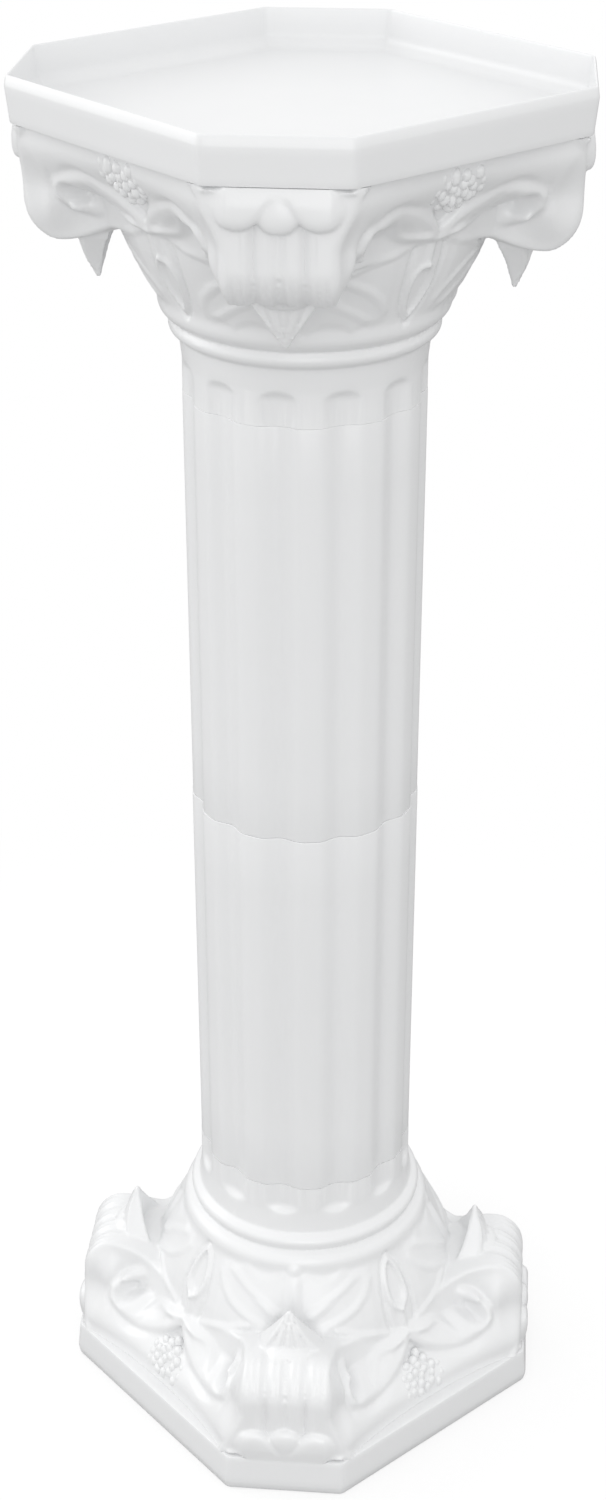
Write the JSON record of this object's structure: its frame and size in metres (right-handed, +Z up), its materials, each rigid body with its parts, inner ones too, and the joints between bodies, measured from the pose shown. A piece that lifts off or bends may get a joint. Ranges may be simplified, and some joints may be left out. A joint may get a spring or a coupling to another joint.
{
  "type": "pedestal column stand",
  "caption": "Classical pedestal stand: dished square top on a leafwork capital, fluted stacking shaft and matching base on a square plinth, to carry a plant pot or flower arrangement.",
  "frame": {"origin": "on the floor, under the middle of the plinth", "axes": "+Z up along the column's axis; X and Y square to the tray's long sides"},
  "size_m": [0.2758, 0.2758, 0.88],
  "materials": {
    "white_moulding": "satin",
    "inner_sleeve": "matte"
  },
  "bodies": {
    "plinth": {"plinth": "white_moulding"},
    "base": {"base": "white_moulding", "bottom_joint_ring": "inner_sleeve"},
    "lower_shaft": {"lower_shaft": "white_moulding", "middle_joint_ring": "inner_sleeve"},
    "upper_shaft": {"upper_shaft": "white_moulding", "top_joint_ring": "inner_sleeve"},
    "capital": {"capital": "white_moulding"},
    "tray": {"tray": "white_moulding"}
  },
  "joints": [
    {"name": "base_lift", "type": "slide", "parent": "plinth", "child": "base", "axis": [0, 0, 1], "range_m": [0, 0.012]},
    {"name": "lower_shaft_lift", "type": "slide", "parent": "base", "child": "lower_shaft", "axis": [0, 0, 1], "range_m": [0, 0.035]},
    {"name": "upper_shaft_lift", "type": "slide", "parent": "lower_shaft", "child": "upper_shaft", "axis": [0, 0, 1], "range_m": [0, 0.035]},
    {"name": "capital_lift", "type": "slide", "parent": "upper_shaft", "child": "capital", "axis": [0, 0, 1], "range_m": [0, 0.035]},
    {"name": "tray_lift", "type": "slide", "parent": "capital", "child": "tray", "axis": [0, 0, 1], "range_m": [0, 0.012]}
  ]
}
